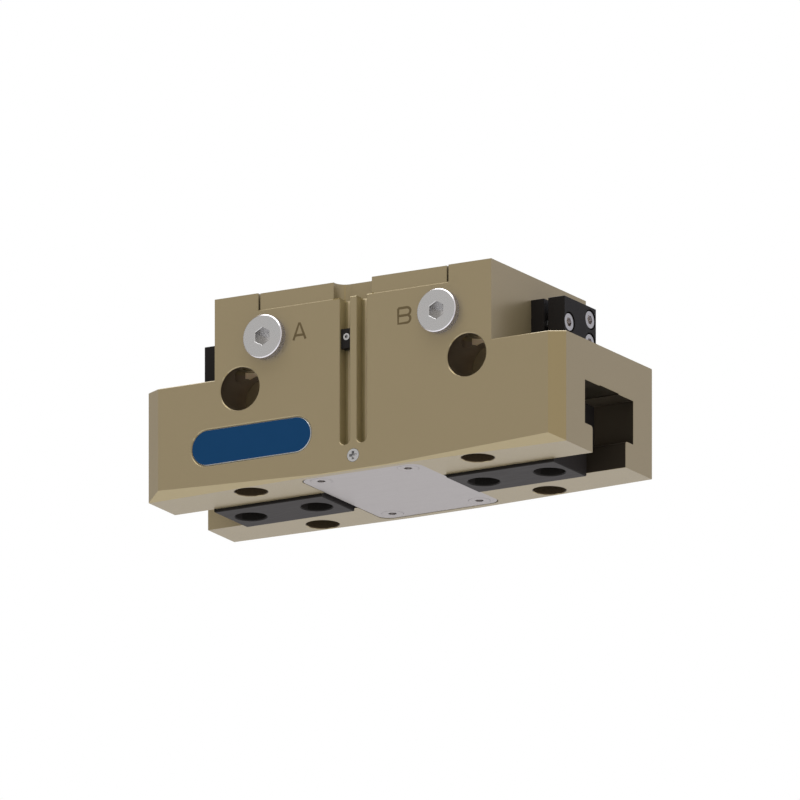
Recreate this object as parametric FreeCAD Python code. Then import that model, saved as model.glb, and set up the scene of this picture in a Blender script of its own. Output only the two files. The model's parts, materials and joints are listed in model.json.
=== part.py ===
import FreeCAD, Part
import os
from collections import namedtuple
from math import cos, pi, sin, sqrt

# Pneumatic parallel gripper: an oval piston moves a wedge hook, and the hook slides two jaws in a T-slot.
# Millimetres, +Z up, X along the jaw travel. The origin is the centre of the top mounting face.
# Shapes are drawn with the housing's underside at z = 0, and save() lowers them to that origin.
# Jaws are drawn closed, with the piston at the top of its stroke.

V = FreeCAD.Vector
RIGHT = V(1, 0, 0)
LEFT = V(-1, 0, 0)
BACK = V(0, 1, 0)
FRONT = V(0, -1, 0)
UP = V(0, 0, 1)
DOWN = V(0, 0, -1)

# Housing block: a head for the cylinder between two lower shoulders
BODY_L = 151.0
BODY_W = 59.5
BODY_H = 62.0
HEAD_L = 100.0
SHOULDER_H = 35.8
CORNER_CUT_X = 5.0
CORNER_CUT_Y = 2.8
BEVEL_START_X = 12.0
BEVEL_MIDDLE = 0.3
BEVEL_END = 2.9
EDGE_BREAK = 0.25
LEDGE_BREAK = 0.35
RIM_BREAK = 0.3

# T-slot that guides the jaws
SLOT_MOUTH_W = 20.74
SLOT_WIDE_W = 30.4
SLOT_LIP_H = 8.5
SLOT_H = 22.65
SLOT_RELIEF_W = 12.0
SLOT_RELIEF_DEPTH = 0.3
SLOT_LIP_R = 1.0

# Oval cylinder, piston and rod
STROKE = 10.0
BORE_END_WALL = 20.0
BORE_SIDE_WALL = 9.75
FLOOR_T = 8.35
PISTON_CLEARANCE = 0.08
PISTON_GAP = 0.2
PISTON_BOSS_D = 24.0
PISTON_BOSS_H = 2.8
PISTON_CHAMFER = 1.5
PISTON_SEAL_SHARE = 0.25
PISTON_SEAL_W = 2.2
PISTON_BAND_SHARE = 0.29
PISTON_BAND_W = 1.5
MAGNET_D = 4.0
MAGNET_H = 3.0
MAGNET_WALL = 1.2
ROD_D = 16.0
ROD_CLEARANCE = 0.08
ROD_SEAL_H = 3.0
ROD_SEAL_W = 2.5
SEAL_CLEARANCE = 0.05

# Cylinder cover in a cross channel of the head
COVER_L = 68.7
COVER_T = 5.35
COVER_SINK = 0.1
COVER_GAP = 0.66
COVER_SETBACK = 0.35
COVER_SCREW_X = 20.0
COVER_SCREW_EDGE = 4.45
COVER_SCREW_L = 14.0
COVER_SEAL_INSET = 0.8
COVER_SEAL_W = 2.0
COVER_SEAL_H = 1.5
NOTCH_X = -0.3
NOTCH_W = 13.8
NOTCH_DEPTH = 4.45
NOTCH_R = 3.5

# Air ports with their plugs
PORT_X = 31.45
PORT_DROP = 14.9
PORT_D = 8.8
PORT_DEPTH = 10.0
PORT_CHANNEL_D = 3.0
PLUG_FLANGE_D = 14.0
PLUG_FLANGE_T = 2.6
PLUG_RIM = 0.3
PLUG_STEM_L = 8.0
PLUG_HEX = 5.0
PLUG_HEX_DEPTH = 4.0
PLUG_HEX_RIM = 0.15
PLUG_SEAL_D = 12.4
PLUG_SEAL_W = 1.4
PLUG_SEAL_T = 1.0
PLUG_CLEARANCE = 0.1

# Sensor grooves, the stop in one of them, and the purge plug
GROOVE_PITCH = 6.1
GROOVE_MOUTH_W = 3.7
GROOVE_LIP = 1.0
GROOVE_W = 4.0
GROOVE_DEPTH = 4.1
GROOVE_END_H = 8.6
GROOVE_BREAK = 0.2
GROOVE_LEAD = 0.5
STOP_DROP = 10.0
STOP_H = 6.3
STOP_CLEARANCE = 0.1
STOP_SCREW_D = 2.2
STOP_SCREW_RISE = 3.7
STOP_SCREW_HEX = 1.1
PURGE_H = 4.8
PURGE_D = 4.2
PURGE_L = 6.0
PURGE_CHANNEL_D = 1.5
PURGE_CROSS_L = 2.7
PURGE_CROSS_W = 0.9
PURGE_CROSS_DEPTH = 1.0

# Mounting holes of the head, each with a pocket for the screw's head
MOUNT_INSET_X = 9.0
MOUNT_INSET_Y = 7.25
MOUNT_HOLE_D = 6.6
MOUNT_POCKET_D = 14.0
MOUNT_POCKET_H = 31.95
MOUNT_POCKET_DEPTH = 16.0
MOUNT_ACCESS_D = 10.5
MOUNT_SEAT_H = 40.3

# Bottom cover plate over the drive
PLATE_L = 42.7
PLATE_EDGE = 2.7
PLATE_T = 1.9
PLATE_SINK = 0.1
PLATE_R = 4.5
PLATE_GAP = 0.08
PLATE_POCKET_R = 3.8
PLATE_SCREW_INSET_X = 5.65
PLATE_SCREW_INSET_Y = 4.65
PLATE_SCREW_L = 9.0

# Base jaws and wedge hook
JAW_CLEARANCE = 0.1
JAW_SETBACK = 14.1
JAW_PAD_GAP = 1.15
JAW_PROUD = 1.0
JAW_TIP_X = 3.0
FINGER_FROM_PAD = 7.725
FINGER_FROM_END = 7.425
FINGER_D = 10.0
FINGER_DEPTH = 6.0
FINGER_THREAD_D = 5.0
FINGER_THREAD_DEPTH = 14.0
HOOK_TOP_GAP = 0.3
HOOK_BOTTOM_GAP = 0.4
HOOK_SIDE_GAP = 0.37
HOOK_BOTTOM_L = 22.0
RIB_STEM_W = 9.0
RIB_STEM_DEPTH = 3.5
RIB_HEAD_W = 15.0
RIB_HEAD_DEPTH = 4.0
HOOK_SCREW_SINK = 1.0
HOOK_SCREW_L = 20.0
CAM_L = 14.0
CAM_W = 7.5
CAM_T = 4.0
CAM_END_WALL = 1.7
CAM_GAP = 0.1
CAM_SCREW_INSET = 3.5
CAM_SCREW_L = 7.0

# Sensor brackets on the ends of the head
BRACKET_L = 12.1
BRACKET_W = 19.8
BRACKET_H = 15.7
BRACKET_FRONT_Y = -4.7
BRACKET_RISE_RIGHT = 2.7
BRACKET_RISE_LEFT = 0.1
BRACKET_BREAK = 0.1
SENSOR_D = 8.0
SENSOR_FROM_HEAD = 5.4
SENSOR_FROM_FRONT = 9.4
SENSOR_HOLE_GAP = 0.5
SLIT_W = 1.6
CLAMP_SCREW_FROM_FRONT = 3.35
BRACKET_SCREW_FROM_FRONT = 16.4
BRACKET_SCREW_SPACING = 7.5
BRACKET_SCREW_BITE = 6.0
BRACKET_SCREW_SINK = 0.3
CLAMP_SCREW_TIP_WALL = 1.0

# Name plate, left bare
BADGE_L = 43.2
BADGE_H = 11.6
BADGE_T = 0.4
BADGE_SINK = 0.1
BADGE_GAP = 0.05
BADGE_RIM = 0.35
BADGE_EDGE = 0.25
BADGE_FROM_END = 38.7
BADGE_RISE = 14.3

# Screws: shank, head and hexagon socket; a flat head's cone has a right angle
HOOK_SCREW_D = 6.0
HOOK_SCREW_HEAD_D = 10.0
HOOK_SCREW_HEAD_H = 4.0
HOOK_SCREW_HEX = 4.0
BRACKET_SCREW_D = 3.0
BRACKET_SCREW_HEAD_D = 5.5
BRACKET_SCREW_HEAD_H = 3.0
BRACKET_SCREW_HEX = 2.7
COVER_SCREW_D = 4.0
COVER_SCREW_HEAD_D = 7.6
COVER_SCREW_HEX = 2.5
PLATE_SCREW_D = 4.0
PLATE_SCREW_HEAD_D = 6.8
PLATE_SCREW_HEX = 2.5
CAM_SCREW_D = 2.5
CAM_SCREW_HEAD_D = 4.7
CAM_SCREW_HEX = 1.5
SCREW_GAP = 0.1
HEAD_GAP = 0.5
SOCKET_SHARE = 0.4

# Land that a flared tool keeps at its outer end
FLARE_LAND = 0.02

# How far a cutting tool starts outside the face that it enters
OVERCUT = 1.0

# Levels and places that follow from the sizes above
COVER_TOP_Z = BODY_H - COVER_SINK
COVER_SEAT_Z = COVER_TOP_Z - COVER_T
BORE_L = HEAD_L - 2 * BORE_END_WALL
BORE_W = BODY_W - 2 * BORE_SIDE_WALL
FLOOR_Z = SLOT_H + FLOOR_T
PISTON_Z = FLOOR_Z + PISTON_GAP + STROKE
PISTON_T = COVER_SEAT_Z - PISTON_GAP - PISTON_BOSS_H - PISTON_Z
PISTON_SEAL_H = PISTON_T * PISTON_SEAL_SHARE
PISTON_BAND_H = PISTON_T * PISTON_BAND_SHARE
PISTON_LAND = (PISTON_T - PISTON_CHAMFER - PISTON_SEAL_H - PISTON_BAND_H) / 3
PISTON_BAND_Z = PISTON_Z + PISTON_CHAMFER + PISTON_LAND
PISTON_SEAL_Z = PISTON_BAND_Z + PISTON_BAND_H + PISTON_LAND
MAGNET_Y = PISTON_SEAL_W + PISTON_CLEARANCE + MAGNET_WALL + MAGNET_D / 2 - BORE_W / 2
ROD_SEAL_Z = SLOT_H + (FLOOR_T - ROD_SEAL_H) / 2
COVER_W = BODY_W - 2 * COVER_SETBACK
COVER_SCREW_Y = COVER_W / 2 - COVER_SCREW_EDGE
FRONT_Y = -BODY_W / 2
BADGE_X = BADGE_FROM_END - BODY_L / 2
PORT_Z = BODY_H - PORT_DROP
MOUNT_X = HEAD_L / 2 - MOUNT_INSET_X
MOUNT_Y = BODY_W / 2 - MOUNT_INSET_Y
PLATE_W = BODY_W - 2 * PLATE_EDGE
PLATE_TOP_Z = PLATE_T + PLATE_SINK
PLATE_SCREW_X = PLATE_L / 2 - PLATE_SCREW_INSET_X
PLATE_SCREW_Y = PLATE_W / 2 - PLATE_SCREW_INSET_Y
HOOK_TOP_Z = SLOT_H - HOOK_TOP_GAP
HOOK_Z = PLATE_TOP_Z + HOOK_BOTTOM_GAP + STROKE
JAW_PAD_X = PLATE_L / 2 + JAW_PAD_GAP
JAW_END_X = BODY_L / 2 - JAW_SETBACK
JAW_PAD_L = JAW_END_X - JAW_PAD_X
JAW_TOP_Z = SLOT_H - JAW_CLEARANCE
SENSOR_X = HEAD_L / 2 + SENSOR_FROM_HEAD
SENSOR_Y = BRACKET_FRONT_Y + SENSOR_FROM_FRONT
CAM_X = JAW_END_X - CAM_END_WALL - CAM_L / 2
CAM_SCREW_X = CAM_X - CAM_L / 2 + CAM_SCREW_INSET
STOP_Z = COVER_SEAT_Z - STOP_DROP - STOP_H
STOP_Y = FRONT_Y + GROOVE_LIP + STOP_CLEARANCE
STOP_DEPTH = GROOVE_DEPTH - GROOVE_LIP - 2 * STOP_CLEARANCE


# Screw sizes

Screw = namedtuple("Screw", "shank head head_h socket")


def flat_head(shank, head, socket):
    return Screw(shank, head, (head - shank) / 2, socket)


HOOK_SCREW = Screw(HOOK_SCREW_D, HOOK_SCREW_HEAD_D, HOOK_SCREW_HEAD_H, HOOK_SCREW_HEX)
BRACKET_SCREW = Screw(BRACKET_SCREW_D, BRACKET_SCREW_HEAD_D, BRACKET_SCREW_HEAD_H, BRACKET_SCREW_HEX)
COVER_SCREW = flat_head(COVER_SCREW_D, COVER_SCREW_HEAD_D, COVER_SCREW_HEX)
PLATE_SCREW = flat_head(PLATE_SCREW_D, PLATE_SCREW_HEAD_D, PLATE_SCREW_HEX)
CAM_SCREW = flat_head(CAM_SCREW_D, CAM_SCREW_HEAD_D, CAM_SCREW_HEX)


# Shape helpers

def slab(length, width, z0, z1, x=0.0, y=0.0):
    return Part.makeBox(length, width, z1 - z0, V(x - length / 2, y - width / 2, z0))


def round_bar(diameter, start, direction, length):
    return Part.makeCylinder(diameter / 2, length, start, direction)


def ring(outer_d, inner_d, start, direction, length):
    return round_bar(outer_d, start, direction, length).cut(round_bar(inner_d, start, direction, length))


def prism_y(points, width):
    # Closed outline in X and Z, spread evenly to both sides of the XZ plane.
    wire = Part.makePolygon([V(x, -width / 2, z) for x, z in points + points[:1]])
    return Part.Face(wire).extrude(V(0, width, 0))


def oval(length, width, z0, z1):
    # Two half circles joined by straight sides, as the cylinder bore is.
    r = width / 2
    s = length / 2 - r
    edges = [
        Part.LineSegment(V(-s, -r, z0), V(s, -r, z0)).toShape(),
        Part.Arc(V(s, -r, z0), V(s + r, 0, z0), V(s, r, z0)).toShape(),
        Part.LineSegment(V(s, r, z0), V(-s, r, z0)).toShape(),
        Part.Arc(V(-s, r, z0), V(-s - r, 0, z0), V(-s, -r, z0)).toShape(),
    ]
    return Part.Face(Part.Wire(edges)).extrude(V(0, 0, z1 - z0))


def oval_ring(offset_out, offset_in, z0, z1):
    # A band that follows the cylinder bore, between two offsets from its wall.
    outer = oval(BORE_L + 2 * offset_out, BORE_W + 2 * offset_out, z0, z1)
    return outer.cut(oval(BORE_L + 2 * offset_in, BORE_W + 2 * offset_in, z0, z1))


def hexagon(across_flats, face, inward, depth):
    # Hexagonal socket tool with a corner on the axis across the part.
    r = across_flats / sqrt(3)
    points = [V(r * sin(k * pi / 3), r * cos(k * pi / 3), 0) for k in range(7)]
    tool = Part.Face(Part.makePolygon(points)).extrude(V(0, 0, depth + OVERCUT))
    tool.Placement = FreeCAD.Placement(face - inward * OVERCUT, FreeCAD.Rotation(UP, inward))
    return tool


def cross_recess(length, width, face, inward, depth):
    # Cross recess tool with its arms along the part's axes.
    height = depth + OVERCUT
    tool = slab(length, width, 0, height).fuse(slab(width, length, 0, height))
    tool.Placement = FreeCAD.Placement(face - inward * OVERCUT, FreeCAD.Rotation(UP, inward))
    return tool


def hole(diameter, face, inward, depth, rim=0.0):
    # Drilled hole that starts outside its face, with a conical rim where one is given.
    tool = round_bar(diameter, face - inward * OVERCUT, inward, depth + OVERCUT)
    if rim:
        r = diameter / 2
        tool = tool.fuse(Part.makeCone(r + 2 * rim, r, 2 * rim, face - inward * rim, inward))
    return tool


def cap_screw(size, seat, inward, length):
    head_face = seat - inward * size.head_h
    screw = round_bar(size.head, head_face, inward, size.head_h)
    screw = screw.fuse(round_bar(size.shank, seat, inward, length)).removeSplitter()
    return screw.cut(hexagon(size.socket, head_face, inward, size.head_h * SOCKET_SHARE))


def cap_screw_hole(size, seat, inward, length):
    # Counterbore and shank hole; the counterbore runs out past the head.
    head_d = size.head + 2 * HEAD_GAP
    reach = size.head_h + size.head
    tool = round_bar(head_d, seat - inward * reach, inward, reach)
    return tool.fuse(round_bar(size.shank + 2 * SCREW_GAP, seat, inward, length + SCREW_GAP))


def flat_screw(size, face, inward, length):
    screw = Part.makeCone(size.head / 2, size.shank / 2, size.head_h, face, inward)
    screw = screw.fuse(round_bar(size.shank, face, inward, length))
    return screw.cut(hexagon(size.socket, face, inward, size.head_h * SOCKET_SHARE))


def flat_screw_hole(size, face, inward, length):
    slope = (size.head - size.shank) / 2 / size.head_h
    head_r = size.head / 2 + SCREW_GAP
    sink = Part.makeCone(head_r + slope * OVERCUT, size.shank / 2 + SCREW_GAP,
                         size.head_h + OVERCUT, face - inward * OVERCUT, inward)
    return sink.fuse(round_bar(size.shank + 2 * SCREW_GAP, face, inward, length + SCREW_GAP))


def turned(shape):
    # The other half of the gripper: half a turn about the vertical axis.
    copy = shape.copy()
    copy.rotate(V(0, 0, 0), UP, 180)
    return copy


def as_drawn(shape):
    return shape


def both_ends(shape):
    return [shape, turned(shape)]


def edge_cut(start, end, leg):
    # Square bar on its corner along an edge that runs with X, Y or Z, for a small chamfer there.
    run = end - start
    u, w = [axis * leg for axis in (RIGHT, BACK, UP) if abs(axis.dot(run)) < leg]
    wire = Part.makePolygon([start + u, start + w, start - u, start - w, start + u])
    return Part.Face(wire).extrude(run)


def break_edges(shape, size, wanted):
    return shape.makeChamfer(size, [edge for edge in shape.Edges if wanted(edge.CenterOfMass)])


def corners(x, y):
    return [(x, y), (-x, y), (-x, -y), (x, -y)]


def save(name, *solids):
    shape = solids[0].copy() if len(solids) == 1 else Part.makeCompound(list(solids)).copy()
    shape.translate(V(0, 0, -BODY_H))
    shape.exportStep("parts/" + name + ".step")


# Housing

def housing_block():
    half = BODY_L / 2
    head = HEAD_L / 2
    outline = [(-half, 0), (half, 0), (half, SHOULDER_H), (head, SHOULDER_H),
               (head, BODY_H), (-head, BODY_H), (-head, SHOULDER_H), (-half, SHOULDER_H)]
    block = prism_y(outline, BODY_W)
    front_bevels = rail_bevels()
    for cut in corner_cuts() + front_bevels + [turned(bevel) for bevel in front_bevels]:
        block = block.cut(cut)
    # The shoulders' top edges are broken along the front and back and round the corner cuts.
    side_y = BODY_W / 2 - CORNER_CUT_Y
    return break_edges(block, EDGE_BREAK, lambda p: abs(p.z - SHOULDER_H) < FLARE_LAND and abs(p.y) > side_y)


def beyond_plane(point, outward):
    # Everything on the outer side of a plane, for a straight cut along it.
    tool = Part.makeBox(2 * BODY_L, 2 * BODY_L, BODY_L, V(-BODY_L, -BODY_L, 0))
    tool.Placement = FreeCAD.Placement(point, FreeCAD.Rotation(UP, outward))
    return tool


def corner_cuts():
    # Upright cuts at the four corners of the lower block.
    cuts = []
    for sx, sy in corners(1, 1):
        point = V(sx * (BODY_L / 2 - CORNER_CUT_X), sy * BODY_W / 2, 0)
        cuts.append(beyond_plane(point, V(sx * CORNER_CUT_Y, sy * CORNER_CUT_X, 0)))
    return cuts


def rail_bevels():
    # Bevels of the front lower edge, which widen from the middle towards both ends.
    growth = (BEVEL_END - BEVEL_MIDDLE) / (BODY_L / 2 - BEVEL_START_X)
    cuts = []
    for side in (-1, 0, 1):
        point = V(side * BEVEL_START_X, FRONT_Y + BEVEL_MIDDLE, 0)
        cuts.append(beyond_plane(point, V(side * growth, -1, -1)))
    return cuts


def slot_cuts():
    run = BODY_L + 2 * OVERCUT
    return [
        slab(run, SLOT_MOUTH_W, -OVERCUT, SLOT_H),
        slab(run, SLOT_WIDE_W, SLOT_LIP_H, SLOT_H),
        slab(run, SLOT_RELIEF_W, SLOT_H - OVERCUT, SLOT_H + SLOT_RELIEF_DEPTH),
    ] + both_ends(lip_round())


def lip_round():
    # What the round takes off the inner corner of the front lip.
    r = SLOT_LIP_R
    y = -SLOT_MOUTH_W / 2 - r / 2
    corner = slab(BODY_L + 2 * OVERCUT, r, SLOT_LIP_H - r, SLOT_LIP_H, 0, y)
    start = V(-BODY_L, y - r / 2, SLOT_LIP_H - r)
    return corner.cut(round_bar(2 * r, start, RIGHT, 2 * BODY_L))


def cylinder_cuts():
    rod_seal_d = ROD_D + 2 * ROD_SEAL_W
    seal_out = COVER_SEAL_INSET + COVER_SEAL_W
    cuts = [
        oval(BORE_L, BORE_W, FLOOR_Z, COVER_SEAT_Z + OVERCUT),
        slab(COVER_L, BODY_W + 2 * OVERCUT, COVER_SEAT_Z, BODY_H + OVERCUT),
        oval_ring(seal_out, COVER_SEAL_INSET, COVER_SEAT_Z - COVER_SEAL_H, COVER_SEAT_Z + OVERCUT),
        round_bar(ROD_D + 2 * ROD_CLEARANCE, V(0, 0, SLOT_H - OVERCUT), UP, FLOOR_T + 2 * OVERCUT),
        round_bar(rod_seal_d, V(0, 0, ROD_SEAL_Z), UP, ROD_SEAL_H),
    ]
    for x, y in corners(COVER_SCREW_X, COVER_SCREW_Y):
        cuts.append(flat_screw_hole(COVER_SCREW, V(x, y, COVER_TOP_Z), DOWN, COVER_SCREW_L))
    for cut in channel_edges():
        cuts += both_ends(cut)
    return cuts


def channel_edges():
    # Broken front edges of the cover's channel: its ledge and its two ends.
    left = V(-COVER_L / 2, FRONT_Y, COVER_SEAT_Z)
    right = V(COVER_L / 2, FRONT_Y, COVER_SEAT_Z)
    rise = UP * (BODY_H - COVER_SEAT_Z + OVERCUT)
    ends = [edge_cut(foot, foot + rise, EDGE_BREAK) for foot in (left, right)]
    return [edge_cut(left, right, LEDGE_BREAK), *ends]


def port_cuts():
    # Each port is drilled from the front, and a slanted channel leads to its end of the cylinder.
    radius = BORE_W / 2
    centre_x = BORE_L / 2 - radius
    chamber_a = COVER_SEAT_Z - PORT_CHANNEL_D / 2
    chamber_b = FLOOR_Z + PORT_CHANNEL_D / 2
    cuts = []
    for side, level in ((-1, chamber_a), (1, chamber_b)):
        mouth = V(side * PORT_X, FRONT_Y, PORT_Z)
        cuts.append(hole(PORT_D, mouth, BACK, PORT_DEPTH))
        start = mouth + BACK * (PORT_DEPTH - PORT_CHANNEL_D / 2)
        centre = V(side * centre_x, 0, level)
        inward = V(centre.x - start.x, centre.y - start.y, 0)
        reach = inward.Length - radius
        end = start + inward.normalize() * reach
        end.z = level
        run = end - start
        cuts.append(round_bar(PORT_CHANNEL_D, start, run, run.Length + PORT_CHANNEL_D / 2))
    return cuts


def groove_bar(x, width, depth0, depth1, z0, z1):
    # Upright bar in a sensor groove, between two depths behind the front.
    return slab(width, depth1 - depth0, z0, z1, x, FRONT_Y + (depth0 + depth1) / 2)


def groove_cuts():
    # T-shaped sensor grooves, open to the front, from the cover's ledge down to a round end.
    end_z = GROOVE_END_H + GROOVE_MOUTH_W / 2
    top_z = COVER_SEAT_Z + OVERCUT
    cuts = []
    for x in (-GROOVE_PITCH / 2, GROOVE_PITCH / 2):
        foot = V(x, FRONT_Y, end_z)
        cuts.append(groove_bar(x, GROOVE_MOUTH_W, -OVERCUT, GROOVE_DEPTH, end_z, top_z))
        cuts.append(groove_bar(x, GROOVE_W, GROOVE_LIP, GROOVE_DEPTH, end_z, top_z))
        cuts.append(hole(GROOVE_MOUTH_W, foot, BACK, GROOVE_DEPTH, GROOVE_BREAK))
        cuts.append(round_bar(GROOVE_W, foot + BACK * GROOVE_LIP, BACK, GROOVE_DEPTH - GROOVE_LIP))
        for edge_x in (-GROOVE_MOUTH_W / 2, GROOVE_MOUTH_W / 2):
            side = foot + RIGHT * edge_x
            cuts.append(edge_cut(side, side + UP * (top_z - end_z), GROOVE_BREAK))
        back_left = V(x - GROOVE_W / 2, FRONT_Y + GROOVE_DEPTH, COVER_SEAT_Z)
        cuts.append(edge_cut(back_left, back_left + RIGHT * GROOVE_W, GROOVE_LEAD))
    purge = V(0, FRONT_Y, PURGE_H)
    cuts.append(hole(PURGE_D + 2 * SCREW_GAP, purge, BACK, PURGE_L))
    cuts.append(hole(PURGE_CHANNEL_D, purge, BACK, (BODY_W - SLOT_MOUTH_W) / 2 + OVERCUT))
    return cuts


def mount_cuts():
    cuts = []
    for x, y in corners(MOUNT_X, MOUNT_Y):
        inward = BACK if y < 0 else FRONT
        pocket = V(x, -inward.y * BODY_W / 2, MOUNT_POCKET_H)
        cuts.append(hole(MOUNT_POCKET_D, pocket, inward, MOUNT_POCKET_DEPTH, RIM_BREAK))
        cuts.append(hole(MOUNT_HOLE_D, V(x, y, BODY_H), DOWN, BODY_H - MOUNT_POCKET_H, RIM_BREAK))
        cuts.append(hole(MOUNT_ACCESS_D, V(x, y, 0), UP, MOUNT_SEAT_H, RIM_BREAK))
    return cuts


def plate_cuts():
    gap = 2 * PLATE_GAP
    cuts = [rounded_plate(PLATE_L + gap, PLATE_W + gap, PLATE_POCKET_R, -OVERCUT, PLATE_TOP_Z)]
    for x, y in corners(PLATE_SCREW_X, PLATE_SCREW_Y):
        cuts.append(flat_screw_hole(PLATE_SCREW, V(x, y, PLATE_SINK), UP, PLATE_SCREW_L))
    return cuts


def bracket_cuts():
    # Screw holes in the ends of the head, and the holes through which the sensors see the jaws.
    cuts = []
    for rise, place in ((BRACKET_RISE_RIGHT, as_drawn), (BRACKET_RISE_LEFT, turned)):
        for point in bracket_screw_points(rise):
            depth = BRACKET_SCREW_BITE + SCREW_GAP
            cuts.append(place(hole(BRACKET_SCREW.shank + 2 * SCREW_GAP, point, LEFT, depth)))
        sensor_d = SENSOR_D + 2 * SENSOR_HOLE_GAP
        face = V(SENSOR_X, SENSOR_Y, SHOULDER_H)
        cuts.append(place(hole(sensor_d, face, DOWN, SHOULDER_H - SLOT_H + OVERCUT, RIM_BREAK)))
    return cuts


def housing():
    body = housing_block()
    cuts = slot_cuts() + cylinder_cuts() + port_cuts() + groove_cuts()
    cuts += mount_cuts() + plate_cuts() + bracket_cuts() + [badge_recess()]
    for cut in cuts:
        body = body.cut(cut)
    return body.removeSplitter()


# Cylinder cover, plugs, stop and plates

def rounded_plate(length, width, radius, z0, z1):
    plate = slab(length, width, z0, z1)
    upright = [edge for edge in plate.Edges if abs(edge.Vertexes[0].Z - edge.Vertexes[-1].Z) > 0]
    return plate.makeFillet(radius, upright)


def cylinder_cover():
    cover = slab(COVER_L - 2 * COVER_GAP, COVER_W, COVER_SEAT_Z, COVER_TOP_Z)
    notch = rounded_plate(NOTCH_W, 2 * NOTCH_DEPTH, NOTCH_R, COVER_SEAT_Z - OVERCUT, BODY_H + OVERCUT)
    notch.translate(V(NOTCH_X, -COVER_W / 2, 0))
    cover = cover.cut(notch)
    for x, y in corners(COVER_SCREW_X, COVER_SCREW_Y):
        cover = cover.cut(flat_screw_hole(COVER_SCREW, V(x, y, COVER_TOP_Z), DOWN, COVER_SCREW_L))
    return cover


def cylinder_cover_screws():
    places = corners(COVER_SCREW_X, COVER_SCREW_Y)
    return [flat_screw(COVER_SCREW, V(x, y, COVER_TOP_Z), DOWN, COVER_SCREW_L) for x, y in places]


def cylinder_cover_seal():
    outer = COVER_SEAL_INSET + COVER_SEAL_W - SEAL_CLEARANCE
    inner = COVER_SEAL_INSET + SEAL_CLEARANCE
    return oval_ring(outer, inner, COVER_SEAT_Z - COVER_SEAL_H, COVER_SEAT_Z)


def rod_seal():
    inner = ROD_D + 2 * SEAL_CLEARANCE
    outer = ROD_D + 2 * ROD_SEAL_W - 2 * SEAL_CLEARANCE
    return ring(outer, inner, V(0, 0, ROD_SEAL_Z), UP, ROD_SEAL_H)


def port_plug(x):
    # Flanged screw plug with a hexagon socket and a recess for its seal.
    face = V(x, FRONT_Y, PORT_Z)
    flange = round_bar(PLUG_FLANGE_D, face, FRONT, PLUG_FLANGE_T)
    flange = break_edges(flange, PLUG_RIM, lambda p: p.y < FRONT_Y - PLUG_FLANGE_T + PLUG_RIM / 2)
    plug = flange.fuse(round_bar(PORT_D - 2 * PLUG_CLEARANCE, face, BACK, PLUG_STEM_L))
    recess = ring(PLUG_SEAL_D, PLUG_SEAL_D - 2 * PLUG_SEAL_W, face, FRONT, PLUG_SEAL_T)
    plug = plug.cut(recess)
    outer = face + FRONT * PLUG_FLANGE_T
    plug = plug.cut(hexagon(PLUG_HEX, outer, BACK, PLUG_HEX_DEPTH))
    return break_edges(plug, PLUG_HEX_RIM, lambda p: abs((p - outer).Length - PLUG_HEX / 2) < FLARE_LAND)


def port_plug_seal(x):
    outer = PLUG_SEAL_D - 2 * SEAL_CLEARANCE
    inner = PLUG_SEAL_D - 2 * PLUG_SEAL_W + 2 * SEAL_CLEARANCE
    return ring(outer, inner, V(x, FRONT_Y, PORT_Z), FRONT, PLUG_SEAL_T)


def purge_plug():
    face = V(0, FRONT_Y, PURGE_H)
    plug = round_bar(PURGE_D, face, BACK, PURGE_L)
    return plug.cut(cross_recess(PURGE_CROSS_L, PURGE_CROSS_W, face, BACK, PURGE_CROSS_DEPTH))


def sensor_stop():
    # Block that fills a stretch of the left groove, behind the groove's lips.
    x = -GROOVE_PITCH / 2
    back = GROOVE_DEPTH - STOP_CLEARANCE
    stop = groove_bar(x, GROOVE_W - 2 * STOP_CLEARANCE, STOP_Y - FRONT_Y, back, STOP_Z, STOP_Z + STOP_H)
    screw = V(x, STOP_Y, STOP_Z + STOP_SCREW_RISE)
    return stop.cut(hole(STOP_SCREW_D + 2 * SCREW_GAP, screw, BACK, GROOVE_DEPTH))


def sensor_stop_screw():
    face = V(-GROOVE_PITCH / 2, STOP_Y, STOP_Z + STOP_SCREW_RISE)
    screw = round_bar(STOP_SCREW_D, face, BACK, STOP_DEPTH)
    return screw.cut(hexagon(STOP_SCREW_HEX, face, BACK, STOP_SCREW_D / 2))


def bottom_cover_plate():
    plate = rounded_plate(PLATE_L, PLATE_W, PLATE_R, PLATE_SINK, PLATE_TOP_Z)
    for x, y in corners(PLATE_SCREW_X, PLATE_SCREW_Y):
        plate = plate.cut(flat_screw_hole(PLATE_SCREW, V(x, y, PLATE_SINK), UP, PLATE_SCREW_L))
    return plate


def bottom_cover_screws():
    places = corners(PLATE_SCREW_X, PLATE_SCREW_Y)
    return [flat_screw(PLATE_SCREW, V(x, y, PLATE_SINK), UP, PLATE_SCREW_L) for x, y in places]


def badge_pill(grow, depth0, depth1):
    # The plate's outline on the front, between two depths behind the face.
    pill = oval(BADGE_L + 2 * grow, BADGE_H + 2 * grow, -depth1, -depth0)
    pill.Placement = FreeCAD.Placement(V(BADGE_X, FRONT_Y, BADGE_RISE), FreeCAD.Rotation(RIGHT, 90))
    return pill


def badge_recess():
    # Shallow recess with a broken rim: the tool is a plug whose outer end is flared.
    depth = BADGE_SINK + BADGE_T
    flare = badge_pill(BADGE_GAP + 2 * BADGE_RIM, -BADGE_RIM, BADGE_RIM)
    inner = FRONT_Y + BADGE_RIM
    flare = break_edges(flare, 2 * BADGE_RIM - FLARE_LAND, lambda p: p.y > inner - FLARE_LAND)
    return flare.fuse(badge_pill(BADGE_GAP, 0, depth))


def name_plate():
    # Its front edge is bevelled all round.
    plate = badge_pill(0, BADGE_SINK, BADGE_SINK + BADGE_T)
    return break_edges(plate, BADGE_EDGE, lambda p: p.y < FRONT_Y + BADGE_SINK + FLARE_LAND)


# Piston and wedge hook

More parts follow.
